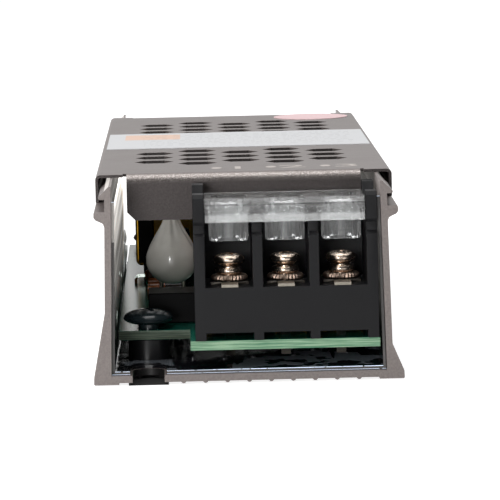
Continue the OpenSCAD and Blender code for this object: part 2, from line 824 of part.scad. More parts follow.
module small_capacitors() {
    color([0.1, 0.1, 0.12]) for (p = [[-12, 0.465], [14.5, 0.709], [14, 0.326]])
        rod([p[0], p[1] * chassis_len], 5, top_z, top_z + 11, 32);
}

module jumper_wires() {
    color([0.8, 0.8, 0.8]) for (p = [[-19.6, bay + 16, 5], [-6, bay + 39, 7], [2, 0.53 * chassis_len, 5]])
        translate([p[0], p[1], 0]) {
            for (s = [-1, 1]) rod([0, s * p[2] / 2], 1, top_z, top_z + 1.6, 24);
            translate([0, -p[2] / 2, top_z + 1]) rotate([-90, 0, 0])
                cylinder(d = 0.7, h = p[2], $fn = 24);
        }
}

from_middle() chassis();
from_middle() case_cover();
from_middle() insulation_film();
from_middle() rating_label();
from_middle() round_sticker();
from_middle() main_board();
from_middle() board_standoffs();
from_middle() board_screws();
from_middle() input_block();
from_middle() input_plates();
from_middle() input_square_washers();
from_middle() input_spring_washers();
from_middle() input_screws();
from_middle() input_lid();
from_middle() output_block();
from_middle() output_plates();
from_middle() output_square_washers();
from_middle() output_spring_washers();
from_middle() output_screws();
from_middle() output_lid();
from_middle() trimmer_body();
from_middle() trimmer_rotor();
from_middle() status_led();
from_middle() bridge_rectifier();
from_middle() ceramic_capacitor();
from_middle() sleeved_varistor();
from_middle() fuse();
from_middle() x_capacitor();
from_middle() choke_core();
from_middle() choke_windings();
from_middle() choke_base();
from_middle() bulk_capacitor();
from_middle() primary_heatsink();
from_middle() mosfet();
from_middle() secondary_heatsink();
from_middle() output_diode();
from_middle() heatsink_screws();
from_middle() transformer_core();
from_middle() transformer_bobbin();
from_middle() transformer_winding();
from_middle() output_capacitors();
from_middle() output_inductor_core();
from_middle() output_inductor_winding();
from_middle() y_capacitor();
from_middle() optocoupler();
from_middle() control_chip();
from_middle() thermistor();
from_middle() resistors();
from_middle() small_capacitors();
from_middle() jumper_wires();
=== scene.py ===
# %% [markdown]
# # A switching power supply, piece by piece
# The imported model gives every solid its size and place. This lesson dresses it: soft edges where a
# press or an extrusion die leaves them, new surfaces where the plain solid is too plain, and a
# finish for each piece. Everything is in metres, with the origin at the middle of the base.

import math

import bmesh
import bpy
import numpy as np
from mathutils import Matrix, Vector


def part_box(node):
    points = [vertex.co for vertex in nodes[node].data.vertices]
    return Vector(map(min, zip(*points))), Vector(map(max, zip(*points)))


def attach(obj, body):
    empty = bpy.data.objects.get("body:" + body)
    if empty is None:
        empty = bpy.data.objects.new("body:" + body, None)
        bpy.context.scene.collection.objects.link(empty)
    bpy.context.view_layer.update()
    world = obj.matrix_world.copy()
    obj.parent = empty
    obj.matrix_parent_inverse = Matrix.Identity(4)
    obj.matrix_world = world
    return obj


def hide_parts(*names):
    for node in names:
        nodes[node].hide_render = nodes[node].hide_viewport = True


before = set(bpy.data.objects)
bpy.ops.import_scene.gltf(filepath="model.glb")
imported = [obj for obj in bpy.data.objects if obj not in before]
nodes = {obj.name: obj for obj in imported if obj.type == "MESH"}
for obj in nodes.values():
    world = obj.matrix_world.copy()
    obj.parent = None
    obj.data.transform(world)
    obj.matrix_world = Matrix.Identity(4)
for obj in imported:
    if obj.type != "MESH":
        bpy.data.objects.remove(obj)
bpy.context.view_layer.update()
MM = 0.001

# %% [markdown]
# ## The camera
# A long lens a long way off keeps the lines of the case almost parallel. Where it looks is written
# as three turns (right, down and a slight roll) from straight ahead along Y, and the camera's matrix
# is the product of its place and one matrix for each turn.

# %% Camera
CAMERA_PLACE = Vector((-9.64, -681.7, 87.3)) * MM
TURN_RIGHT, TURN_DOWN, ROLL = 0.0171, 0.1086, -0.0220
LENS = 257.1


def new_object(name, data):
    """An object in the scene that shows some data."""
    made = bpy.data.objects.new(name, data)
    bpy.context.collection.objects.link(made)
    return made


camera_data = bpy.data.cameras.new("camera")
camera_data.lens = LENS
camera = new_object("camera", camera_data)
camera.matrix_world = (
    Matrix.Translation(CAMERA_PLACE) @ Matrix.Rotation(-TURN_RIGHT, 4, "Z")
    @ Matrix.Rotation(math.pi / 2 - TURN_DOWN, 4, "X") @ Matrix.Rotation(ROLL, 4, "Z"))
bpy.context.scene.camera = camera
bpy.context.scene.view_settings.view_transform = "Standard"
print("camera at", [round(v, 3) for v in camera.location])

# %% [markdown]
# ## Small helpers for shader nodes
# A material is a graph, and a graph written out node by node is hard to read. Here a node's output
# is wrapped in a small class whose signs each add a Math node, so that a mask reads as the formula
# that it is. The other helpers add a node, or start a material or a node group with named sockets.

# %% Node helpers
def sign(operation):
    """A method that adds a Math node of that kind."""
    return lambda *values: maths(operation, *values)


class Value:
    """A node's output to reckon with: each sign, and abs(), adds one Math node to its tree."""
    __add__, __sub__, __mul__ = sign("ADD"), sign("SUBTRACT"), sign("MULTIPLY")
    __gt__, __lt__ = sign("GREATER_THAN"), sign("LESS_THAN")
    __pow__, __abs__ = sign("POWER"), sign("ABSOLUTE")

    def __init__(self, socket):
        self.socket = socket
        self.tree = socket.id_data


def join(source, target):
    """Links a Value to a socket, or sets the socket to a number, a colour or a vector."""
    if isinstance(source, Value):
        source.tree.links.new(source.socket, target)
    else:
        target.default_value = source


def fill(made, *values, **settings):
    """Fills in a node and returns its outputs.

    Values go to its first sockets in order. Settings in small letters are its properties, and
    others name sockets, with underscores for spaces.
    """
    for name, value in settings.items():
        if name.islower():
            setattr(made, name, value)
        else:
            join(value, made.inputs[name.replace("_", " ")])
    for value, target in zip(values, made.inputs):
        join(value, target)
    return [Value(output) for output in made.outputs]


def node(tree, kind, *values, **settings):
    """Adds a node, fills it in and returns its outputs."""
    return fill(tree.nodes.new("ShaderNode" + kind), *values, **settings)


def maths(operation, *values):
    """A Math node's output; one of the values at least is a Value."""
    tree = next(value.tree for value in values if isinstance(value, Value))
    return node(tree, "Math", *values, operation=operation)[0]


def ramp(value, low, high, to_low=0.0, to_high=1.0):
    """A Map Range node: low becomes to_low, high becomes to_high, and nothing goes past them."""
    return node(value.tree, "MapRange", value, low, high, to_low, to_high)[0]


def mix(amount, first, second):
    """Mixes two colours by a mask."""
    made = amount.tree.nodes.new("ShaderNodeMix")
    made.data_type = "RGBA"
    for index, value in ((0, amount), (6, first), (7, second)):
        join(value, made.inputs[index])
    return Value(made.outputs[2])


def bump(height, strength, distance):
    """A Bump node's normal; distance in millimetres."""
    return node(height.tree, "Bump", Strength=strength, Distance=distance * MM, Height=height)[0]


def place_of(tree, which="Object"):
    """The Texture Coordinate output of that name."""
    return Value(tree.nodes.new("ShaderNodeTexCoord").outputs[which])


def split(vector):
    """The X, Y and Z of a vector."""
    return node(vector.tree, "SeparateXYZ", vector)


def start_group(name, outputs, **inputs):
    """A node group of float sockets: its tree, its inputs, and the sockets that it puts out."""
    group = bpy.data.node_groups.new(name, "ShaderNodeTree")
    for label, default in inputs.items():
        made = group.interface.new_socket(
            name=label.replace("_", " "), in_out="INPUT", socket_type="NodeSocketFloat")
        made.default_value = default
    for label in outputs:
        group.interface.new_socket(name=label, in_out="OUTPUT", socket_type="NodeSocketFloat")
    given = fill(group.nodes.new("NodeGroupInput"))[:len(inputs)]
    return group, given, group.nodes.new("NodeGroupOutput").inputs


def use(tree, group, **values):
    """Places a node group; returns its outputs, or the only one."""
    made = node(tree, "Group", node_tree=group, **values)
    return made if len(made) > 1 else made[0]


def start_material(name, **settings):
    """A material, its tree, and its Principled BSDF with the settings on its sockets."""
    made = bpy.data.materials.new(name)
    made.use_nodes = True
    surface = next(n for n in made.node_tree.nodes if n.type == "BSDF_PRINCIPLED")
    fill(surface, **settings)
    return made, made.node_tree, surface


def rgb(*screen):
    """A screen colour, 0 to 255, as the linear colour that Blender's sockets take."""
    shares = [part / 255 for part in screen]
    return (*(v / 12.92 if v <= 0.04045 else ((v + 0.055) / 1.055) ** 2.4 for v in shares), 1.0)


print("helpers ready")

# %% [markdown]
# ## Effects that several finishes share
# Real surfaces are never one flat value. *Grain* is a fine noise for paint and moulded plastic,
# *drawn lines* is noise stretched along the case for extruded and rolled metal, *facing* tells a
# cut end from a long side, and *field* is a printed rectangle.

# %% Shared node groups
def make_grain():
    """Noise at two sizes: fine, and a slow drift twenty times larger and a third as strong."""
    group, (size,), out = start_group("grain", ("Fine", "Slow"), Size=0.4)
    place = place_of(group)
    scale = maths("DIVIDE", 1000.0, size)
    join(node(group, "TexNoise", place, Scale=scale, Detail=3.0)[0], out["Fine"])
    slow = node(group, "TexNoise", place, Scale=scale * 0.05, Detail=2.0)[0]
    join((slow - 0.5) * 0.3 + 0.5, out["Slow"])
    return group


def make_drawn_lines():
    """Noise of place times (Across, 4, Across): long thin streaks along Y."""
    group, (across,), out = start_group("drawn lines", ("Lines",), Across=2500.0)
    stretch = node(group, "CombineXYZ", across, 4.0, across)[0]
    stretched = node(group, "VectorMath", place_of(group), stretch, operation="MULTIPLY")[0]
    join(node(group, "TexNoise", stretched, Scale=1.0, Detail=2.0)[0], out["Lines"])
    return group


def make_facing():
    """How far the surface's own direction lies along X, Y and Z, each from 0 to 1."""
    group, _, out = start_group("facing", "XYZ")
    for part, label in zip(split(place_of(group, "Normal")), "XYZ"):
        join(abs(part), out[label])
    return group


def make_field():
    """1 inside a rectangle in X and Y, all sizes in millimetres; 0 outside."""
    group, (middle_x, middle_y, half_x, half_y), out = start_group(
        "field", ("Mask",), Middle_X=0.0, Middle_Y=0.0, Half_X=1.0, Half_Y=1.0)
    x, y, _ = split(place_of(group))
    in_x = abs(x * 1000.0 - middle_x) < half_x
    in_y = abs(y * 1000.0 - middle_y) < half_y
    join(in_x * in_y, out["Mask"])
    return group


GRAIN = make_grain()
DRAWN = make_drawn_lines()
FACING = make_facing()
FIELD = make_field()
print("groups:", [g.name for g in bpy.data.node_groups])


def edge_on_light(surface, mask, low_colour, high_colour, strength):
    """Light that a side shows only when seen almost edge on: strength times facing^12 times mask.

    It stands for the bright room mirrored at a shallow angle: dim at 8 mm above the table, full at
    26, and faint on the right.
    """
    tree = mask.tree
    grazing = node(tree, "LayerWeight", Blend=0.5)[1] ** 12.0
    x, _, z = split(place_of(tree))
    side = ramp(x, -20 * MM, 20 * MM, strength, strength * 0.12)
    broken = use(tree, DRAWN, Across=420.0) * 2.4 - 0.2
    amount = grazing * mask * broken * side
    colour = mix(ramp(z, 8 * MM, 26 * MM), low_colour, high_colour)
    fill(surface, Emission_Color=colour, Emission_Strength=amount)
    return colour, amount


# %% [markdown]
# ## Surfaces from arrays
# A new surface is a grid of points worked out with NumPy in one go, and then joined up by quads. A
# Screw modifier could do some of these shapes too, but a formula says exactly what the profile is,
# and one pair of helpers serves every round piece.

# %% Array helpers
def grid_faces(rows, columns, wrap_rows=False, wrap_columns=True):
    """Quads of a grid of points numbered row by row; a wrapped side joins its end to its start."""
    row = np.arange(rows if wrap_rows else rows - 1)[:, None]
    column = np.arange(columns if wrap_columns else columns - 1)[None, :]
    next_row, next_column = (row + 1) % rows, (column + 1) % columns
    corners = (row * columns + column, row * columns + next_column,
               next_row * columns + next_column, next_row * columns + column)
    return np.stack(np.broadcast_arrays(*corners), axis=-1).reshape(-1, 4).tolist()


def circle(count):
    """That many angles, evenly spread round a full turn."""
    return np.linspace(0, 2 * np.pi, count, endpoint=False)


def polar(r, angle, z):
    """Points (r cos a, r sin a, z), ring by ring."""
    points = np.broadcast_arrays(r * np.cos(angle), r * np.sin(angle), z)
    return np.stack(points, axis=-1).reshape(-1, 3)


def rings(radius, height, place, sides, sway=None):
    """Rings stacked on Z: point = place + (r cos a, r sin a, z), with r = radius (1 + sway(a, z)).

    Returns the points and the faces, with the first and the last ring closed by one face each.
    """
    angle = circle(sides)
    r, z = np.array(radius)[:, None], np.array(height)[:, None]
    if sway:
        r = r * (1 + sway(angle, z))
    points = polar(r, angle, z)
    ends = [list(range(sides))[::-1], list(range(len(points) - sides, len(points)))]
    return points + place, grid_faces(len(radius), sides) + ends


def tube(path, radius, sides=10):
    """Rings of points square to a path: the ring's axes are the path's normal and binormal."""
    ahead = np.roll(path, -1, 0) - np.roll(path, 1, 0)
    ahead[0], ahead[-1] = path[1] - path[0], path[-1] - path[-2]
    ahead /= np.linalg.norm(ahead, axis=1, keepdims=True)
    side = np.cross(ahead, path - path.mean(axis=0) + 1e-6)
    side /= np.linalg.norm(side, axis=1, keepdims=True)
    other = np.cross(ahead, side)
    angle = circle(sides)[None, :, None]
    points = path[:, None] + radius * (np.cos(angle) * side[:, None] + np.sin(angle) * other[:, None])
    points = points.reshape(-1, 3)
    ends = [list(range(sides)), list(range(len(points) - sides, len(points)))[::-1]]
    return points, grid_faces(len(path), sides) + ends


def rows_of(items, what):
    """The places or directions of a mesh's points or faces, one row for each."""
    values = np.empty(len(items) * 3)
    items.foreach_get(what, values)
    return values.reshape(-1, 3)


def shade(mesh, materials, choice, sharp):
    """Gives each face the material of its number, and shades it smooth up to that many degrees."""
    mesh.materials.clear()
    for material in materials:
        mesh.materials.append(material)
    mesh.polygons.foreach_set("material_index", choice.astype(np.int32))
    mesh.polygons.foreach_set("use_smooth", np.ones(len(choice), bool))
    mesh.set_sharp_from_angle(angle=math.radians(sharp))


def new_piece(name, parts, materials, slot, stands_for=None, pick=None, sharp=40):
    """Joins (points, faces) pairs, in millimetres, into one object that rides on the case.

    With pick, a face whose middle satisfies pick(middles, upness) takes the second material.
    """
    points, faces, start = [], [], 0
    for some_points, some_faces in parts:
        points.append(some_points)
        faces += [[index + start for index in face] for face in some_faces]
        start += len(some_points)
    mesh = bpy.data.meshes.new(name)
    mesh.from_pydata((np.concatenate(points) * MM).tolist(), [], faces)
    work = bmesh.new()
    work.from_mesh(mesh)
    bmesh.ops.recalc_face_normals(work, faces=work.faces)
    work.to_mesh(mesh)
    work.free()
    quads = mesh.polygons
    choice = np.zeros(len(quads))
    if pick:
        choice = pick(rows_of(quads, "center") / MM, rows_of(quads, "normal")[:, 2])
    shade(mesh, materials, choice, sharp)
    piece = new_object(name, mesh)
    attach(piece, "case")
    if stands_for:
        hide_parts(stands_for)
    print(name, len(quads), "faces")


def merged(mesh):
    """A mesh to edit, with its loose triangles joined at their corners."""
    work = bmesh.new()
    work.from_mesh(mesh)
    bmesh.ops.remove_doubles(work, verts=work.verts, dist=0.002 * MM)
    return work


def halves(low, high):
    """A box's middle, and half of its size."""
    return (low + high) / 2, (high - low) / 2


def foot_of(low, high):
    """The middle of a box's underside."""
    return np.array((*(low + high)[:2] / 2, low[2]))


def box_of(label):
    """A node's low and high corner in millimetres, as arrays."""
    low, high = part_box(label)
    return np.array(low) / MM, np.array(high) / MM


def solids_of(label):
    """The low and high corners, in millimetres, of each separate solid of a node."""
    work = merged(nodes[label].data)
    waiting, found = set(work.verts), []
    while waiting:
        reached, edge = set(), [waiting.pop()]
        while edge:
            vert = edge.pop()
            reached.add(vert)
            near = {link.other_vert(vert) for link in vert.link_edges} & waiting
            waiting -= near
            edge += near
        corners = np.array([vert.co for vert in reached]) / MM
        found.append((corners.min(axis=0), corners.max(axis=0)))
    work.free()
    return sorted(found, key=lambda pair: tuple(pair[0].round(2)))


def each_solid(label, shape, name, materials, slot, **options):
    """One new piece in a node's place: the shape, made for the box of each of its solids."""
    new_piece(name, [shape(*pair) for pair in solids_of(label)], materials, slot, label, **options)


print("board screws at", [halves(*pair)[0].round(1).tolist() for pair in solids_of("board_screws")])

# %% [markdown]
# ## Soft edges
# No moulded or pressed part has an edge of zero width, and the thin highlight along an edge is
# what makes it read as real. The solids come as loose triangles, so a copy is merged, its flat
# faces are joined up again, and a Bevel modifier rounds what is left sharper than 30 degrees.

# %% Soft copies
def soft_copy(label, width, *materials, segments=2, levels=(), body="case"):
    """Replaces a CAD node by a merged copy whose sharp edges are rounded to width millimetres.

    Levels are heights at which its faces are divided: each zone, from the foot up, takes the next
    material.
    """
    name = label + "_soft"
    mesh = nodes[label].data.copy()
    mesh.name = name
    work = merged(mesh)
    bmesh.ops.dissolve_limit(work, angle_limit=math.radians(0.5), verts=work.verts, edges=work.edges)
    for level in levels:
        everything = work.verts[:] + work.edges[:] + work.faces[:]
        bmesh.ops.bisect_plane(work, geom=everything, plane_co=(0, 0, level * MM), plane_no=(0, 0, 1))
    work.to_mesh(mesh)
    work.free()
    heights = rows_of(mesh.polygons, "center")[:, 2] / MM
    shade(mesh, materials, np.searchsorted(levels, heights, side="right"), 35)
    piece = new_object(name, mesh)
    rounding = piece.modifiers.new("rounding", "BEVEL")
    rounding.width = width * MM
    rounding.segments = segments
    rounding.limit_method = "ANGLE"
    rounding.angle_limit = math.radians(30)
    rounding.harden_normals = True
    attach(piece, body)
    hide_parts(label)
    print(label, "softened:", len(mesh.polygons), "faces")


# %% [markdown]
# ## The case
# The tray is an aluminium extrusion with a bronze-grey coating, sawn to length, so its two ends
# show bare metal with the coarse grain of the saw. One material does both: the facing group tells
# the sawn end from the rest. The same material puts a painted shade on the walls of the mounting
# slots and a painted reflection on the inner walls. The cover is thin painted sheet with a fine
# orange-peel texture, painted highlight specks where the sheet bends over, and a darker copy of its
# paint on the upright flange as painted shade.

# %% Tray and cover finishes
HALF_LENGTH = box_of("chassis")[1][1]
SLOT_X, SLOT_HALF = -17.0, 3.4


def tray_finish():
    """Coated metal, bare on the sawn ends where |normal Y| > 0.8, with painted shade in the mounting
    slots.
    """
    made, tree, surface = start_material("bronze_coated_extrusion", Metallic=0.55)
    facing_x, facing_y, facing_z = use(tree, FACING)
    fine, _ = use(tree, GRAIN, Size=0.3)
    last = HALF_LENGTH - 0.5
    sawn = (facing_y > 0.8) * (abs(split(place_of(tree))[1]) > last * MM)
    # Painted shade: the walls of the mounting slots are made dark.
    slot = use(tree, FIELD, Middle_X=SLOT_X, Half_X=SLOT_HALF, Half_Y=last) * (facing_z < 0.5)
    coat = mix(use(tree, DRAWN, Across=2200.0), rgb(112, 103, 101), rgb(132, 122, 119))
    coat = mix(slot, coat, rgb(40, 39, 39))
    metal = mix(fine, rgb(90, 84, 82), rgb(132, 124, 121))
    # Painted reflection on the inner walls, an emission seen edge on.
    inside = use(tree, FIELD, Half_X=box_of("insulation_film")[1][0] + 0.6, Half_Y=last)
    edge_on_light(surface, inside * facing_x, rgb(46, 54, 46), rgb(226, 222, 216), 1.6)
    fill(surface, Base_Color=mix(sawn, coat, metal), Roughness=fine * 0.25 + 0.3,
         Normal=bump(fine, 0.5, 0.03))
    return made


def cover_finish():
    """Painted sheet with a painted shade on the upright flange, and painted highlight specks at the bend.

    The bend is where |normal Y| times |normal Z| is large: 0.5 at 45 degrees, nothing on the flats.
    """
    made, tree, surface = start_material("bronze_painted_sheet", Metallic=0.6)
    _, facing_y, facing_z = use(tree, FACING)
    fine, slow = use(tree, GRAIN, Size=0.26)
    bend = (facing_y * facing_z * 1.9) ** 2.5
    # Painted highlight: pale specks where the sheet bends.
    painted_glint = (use(tree, GRAIN, Size=0.17)[0] > 0.53) * bend
    top = mix(fine, rgb(100, 92, 90), rgb(138, 129, 126))
    # Painted shade: the upright flange takes a darker copy of the paint.
    shaded_flange = mix(fine, rgb(42, 38, 37), rgb(68, 62, 61))
    paint = mix(facing_y ** 8.0, top, shaded_flange)
    fill(surface, Base_Color=mix(painted_glint, paint, rgb(188, 182, 177)), Roughness=slow * 0.2 + 0.3,
         Normal=bump(fine, 0.8, 0.03))
    return made


soft_copy("chassis", 0.06, tray_finish(), segments=1)
soft_copy("case_cover", 0.07, cover_finish())

# %% [markdown]
# ## Numbers by the terminals
# The cover carries a dot and a number behind each input terminal. Blender's text object makes the
# outline, and as every piece keeps its object at the origin, the letters become a mesh whose points
# are moved into place.

# %% Terminal numbers
def stamped_number(text, middle, height):
    """Points and faces of a number lying on the cover, its foot at middle, half as wide again."""
    curve = bpy.data.curves.new("number", "FONT")
    curve.body = text
    curve.size = height / 0.7
    curve.align_x = "CENTER"
    curve.extrude = 0.02
    letter = bpy.data.objects.new("number", curve)
    mesh = bpy.data.meshes.new_from_object(letter)
    points = rows_of(mesh.vertices, "co") * (1.5, 1, 1) + middle
    faces = [list(face.vertices) for face in mesh.polygons]
    bpy.data.objects.remove(letter)
    bpy.data.curves.remove(curve)
    bpy.data.meshes.remove(mesh)
    return points, faces


def stamped_dot(middle, half_x, half_y):
    """A flat oval: two rings a hair apart, each closed by one face."""
    points, faces = rings([1.0, 1.0], [0.0, 0.02], (0, 0, 0), 32)
    return points * (half_x, half_y, 1) + middle, faces


def ink_finish():
    """Pale ink, a little uneven."""
    made, tree, surface = start_material("pale_ink", Roughness=0.5)
    fine, _ = use(tree, GRAIN, Size=0.2)
    fill(surface, Base_Color=mix(fine, rgb(160, 152, 147), rgb(202, 194, 188)))
    return made


cover_low, cover_high = box_of("case_cover")
foot_y = cover_low[1] + 6.4
numbers = []
for index, (low, high) in enumerate(solids_of("input_screws")):
    x = foot_of(low, high)[0]
    numbers += [stamped_number(str(index + 1), (x + 2.1, foot_y, cover_high[2]), 5.0),
                stamped_dot((x - 1.6, foot_y + 2.5, cover_high[2]), 0.9, 1.7)]
new_piece("terminal_numbers", numbers, [ink_finish()], "label")

# %% [markdown]
# ## The insulating film
# A sheet of black plastic is folded into the tray between the metal and the board. It is glossy, and
# its upright sides carry a painted reflection as well, an emission seen edge on. It is never quite
# flat: a slow bump makes the reflections wander. A painted highlight, in colour and emission, draws
# a bright line along the rounded front edge of the soft copy.

# %% Film
def film_finish():
    """Almost black and nearly a mirror, with painted reflections as pale streaks in patches on its floor.

    Its cut ends are a dull grey, paler on the upper left end as painted light, with a painted
    highlight line on their rounded edge. The sides carry a painted reflection and are seen almost
    edge on, so their waves are a tenth of the floor's.
    """
    made, tree, surface = start_material("glossy_black_film", Specular_IOR_Level=0.8)
    facing_x, facing_y, facing_z = use(tree, FACING)
    x, y, z = split(place_of(tree))
    wave, slow = use(tree, GRAIN, Size=7.0)
    at_end = abs(y) > (box_of("insulation_film")[1][1] - 0.3) * MM
    cut = at_end * facing_y
    # Painted highlight: a bright line on the rounded front edge.
    painted_glint = at_end * (facing_y * facing_z > 0.08) * (use(tree, GRAIN, Size=0.7)[0] > 0.36)
    # The upper left cut end is paler: painted light.
    ends = mix((z > 24 * MM) * (x < 0.0), rgb(74, 71, 70), rgb(190, 186, 180))
    # Painted reflections: pale streaks in patches on the floor.
    painted_floor_glints = (use(tree, DRAWN, Across=150.0) > 0.48) * (wave > 0.48) * (facing_z * 0.5)
    colour = mix(painted_floor_glints, (0.006, 0.006, 0.008, 1), rgb(150, 156, 165))
    colour = mix(painted_glint, mix(cut, colour, ends), rgb(236, 244, 255))
    height = (use(tree, DRAWN, Across=260.0) * 0.5 + wave) * (facing_x * -0.92 + 1.0)
    # Painted reflection on the upright sides, an emission seen edge on.
    light, amount = edge_on_light(surface, facing_x, rgb(26, 32, 28), rgb(230, 226, 220), 1.7)
    fill(surface, Base_Color=colour, Roughness=cut * 0.4 + (slow * 0.08 + 0.03),
         Normal=bump(height, 0.3, 0.5), Emission_Color=mix(painted_glint, light, rgb(214, 232, 255)),
         Emission_Strength=painted_glint * 1.3 + amount)
    return made


soft_copy("insulation_film", 0.18, film_finish(), segments=3)

# %% [markdown]
# ## The board
# Glass-fibre board: dark green solder mask above and below, and a pale green fibrous edge where it
# was routed out. A Brick Texture stretched by the board's own coordinates is an easy way to get
# long straight copper tracks; the mask lies over them, so they differ only a little in colour.

# %% Board
def board_finish():
    """Faces that look up or down take tracks; routed edges show layers of cloth, with painted shade
    where the edge is set back.

    The layers are noise of place times (140, 140, 3400) in 1/m: thin bands that lie flat.
    """
    made, tree, surface = start_material("green_circuit_board", Specular_Tint=(0.72, 0.92, 0.8, 1))
    place = place_of(tree)
    fine, _ = use(tree, GRAIN, Size=0.35)
    flat = node(tree, "VectorMath", place, (140.0, 140.0, 3400.0), operation="MULTIPLY")[0]
    layer = ramp(node(tree, "TexNoise", flat, Scale=1.0)[0], 0.38, 0.62)
    cut = use(tree, FACING)[2] < 0.5
    tracks = node(tree, "TexBrick", place, Scale=120.0, Color1=rgb(8, 92, 76),
                  Color2=rgb(12, 112, 92), Mortar=rgb(6, 76, 62))[0]
    pale = mix(layer, rgb(70, 118, 90), rgb(156, 184, 154))
    pale = mix(fine * 0.5, pale, rgb(104, 148, 116))
    # Painted shade: the routed edge set back from the front takes a darker colour.
    deep = mix(layer, rgb(66, 76, 64), rgb(100, 110, 96))
    front = split(place)[1] * 1000.0 < box_of("main_board")[0][1] + 4
    edge = mix(front, deep, pale)
    fill(surface, Base_Color=mix(cut, tracks, edge), Roughness=cut * 0.4 + 0.2,
         Normal=bump(fine * cut, 0.3, 0.03))
    return made


soft_copy("main_board", 0.05, board_finish(), segments=1)

# %% [markdown]
# ## General finishes
# Mouldings, plated metal, glossy coats, clear plastic: most parts need one of four recipes. Each
# breaks up the colour or the roughness with the grain group.

# %% Finish recipes
def shaded(colour, share):
    """A colour made darker, by a share of its light."""
    return (*(part * share for part in colour[:3]), 1.0)


def moulding_finish(name, colour, rough, shine=0.25):
    """Moulded plastic: fine grain in colour, roughness and normal; shine is its specular level."""
    made, tree, surface = start_material(name, Specular_IOR_Level=shine)
    fine, slow = use(tree, GRAIN, Size=0.3)
    fill(surface, Base_Color=mix(fine, shaded(colour, 0.8), colour),
         Roughness=slow * 0.25 + (rough - 0.12), Normal=bump(fine, 0.25, 0.01))
    return made


def plated_finish(name, colour, rough, size=0.6):
    """Plated metal with duller patches."""
    made, tree, surface = start_material(name, Metallic=1.0)
    fine, _ = use(tree, GRAIN, Size=size)
    fill(surface, Base_Color=mix(fine, shaded(colour, 0.6), colour),
         Roughness=fine * 0.3 + (rough - 0.1))
    return made


def gloss_finish(name, colour, rough=0.3):
    """A dipped or sleeved coat: slow changes of colour and gloss."""
    made, tree, surface = start_material(name)
    fine, slow = use(tree, GRAIN, Size=0.8)
    fill(surface, Base_Color=mix(slow, shaded(colour, 0.75), colour),
         Roughness=fine * 0.12 + (rough - 0.06))
    return made


def clear_finish(name, haze_free, ripple=0.0):
    """Clear moulding: a trace of haze softens what it bends, and ripple breaks up what shows through."""
    made, tree, surface = start_material(
        name, Base_Color=(0.95, 0.96, 0.96, 1), Transmission_Weight=haze_free, IOR=1.5)
    fill(surface, Roughness=use(tree, GRAIN, Size=1.6)[0] * 0.04)
    if ripple:
        fill(surface, Normal=bump(use(tree, GRAIN, Size=1.1)[0], ripple, 0.35))
    return made


BLACK = moulding_finish("black_moulding", rgb(21, 21, 23), 0.5, 0.17)
# Black plastic of the rectifier and fuse, made darker still as painted shade.
BLACK_CASE_IN_SHADE = moulding_finish("black_case_in_shade", rgb(5, 5, 6), 0.4, 0.06)
NICKEL = plated_finish("nickel_plate", rgb(236, 216, 198), 0.2, 1.2)
BROWN_NICKEL = plated_finish("dull_nickel_plate", rgb(200, 175, 158), 0.32, 0.4)
TIN = plated_finish("tin_plate", rgb(186, 182, 168), 0.4)
SOLDER = plated_finish("solder", rgb(200, 200, 204), 0.25)
BARE = plated_finish("bare_aluminium", rgb(198, 198, 202), 0.4)
COPPER = plated_finish("enamelled_copper", rgb(190, 112, 60), 0.3)
BLACK_STEEL = gloss_finish("black_oxide", rgb(34, 44, 47), 0.17)
SLEEVE = gloss_finish("shrink_sleeve", rgb(24, 25, 30), 0.22)
FERRITE = moulding_finish("ferrite", rgb(44, 44, 46), 0.6)
YELLOW = gloss_finish("yellow_tape", rgb(222, 168, 40), 0.4)
CLEAR = clear_finish("clear_moulding", 0.97)
HAZY = clear_finish("hazy_moulding", 0.95, 0.5)
FROSTED = clear_finish("frosted_moulding", 0.78, 0.2)
print(len(bpy.data.materials), "finishes")

# %% [markdown]
# ## The terminal blocks
# Each block is one black moulding. Plates, washers and screws stand in its bays, and a clear lid
# with a square guide over each screw swings over them. The blocks and lids are soft copies of
# their solids: the rounded edges are what catches the light in clear plastic. A lid is clear in
# its guides, frosted in the band along its foot and hazy above.

# %% Blocks and lids
def plate_finish():
    """Tin whose tab, near the end of the case, is bright, and whose body in the bay is darker as painted
    shade.
    """
    made, tree, surface = start_material("terminal_plate", Metallic=0.8, Roughness=0.4)
    tab = abs(split(place_of(tree))[1]) > (abs(box_of("input_plates")[0][1]) - 3.9) * MM
    fine, _ = use(tree, GRAIN, Size=0.4)
    # Painted shade: the body of the plate down in the bay is darker than the tab.
    dull = mix(fine, rgb(40, 37, 34), rgb(66, 62, 56))
    bright = mix(fine, rgb(112, 107, 98), rgb(150, 144, 133))
    fill(surface, Base_Color=mix(tab, dull, bright))
    return made


ENDS = ("input", "output")
PLATE = plate_finish()
SKIRT_Z = box_of("input_lid")[1][2] - 3.9
BAND = (SKIRT_Z - 0.02, SKIRT_Z + 1.2)
for end in ENDS:
    soft_copy(end + "_block", 0.12, BLACK)
    soft_copy(end + "_lid", 0.2, CLEAR, FROSTED, HAZY, segments=3, levels=BAND, body=end + "_lid")
    soft_copy(end + "_plates", 0.05, PLATE, segments=1)

# %% [markdown]
# ## Screw heads
# A domed head with a cross recess is awkward to cut from a sphere. Here a square grid is bent into
# a disc, so its lines still run straight through the middle, where the recess lies.

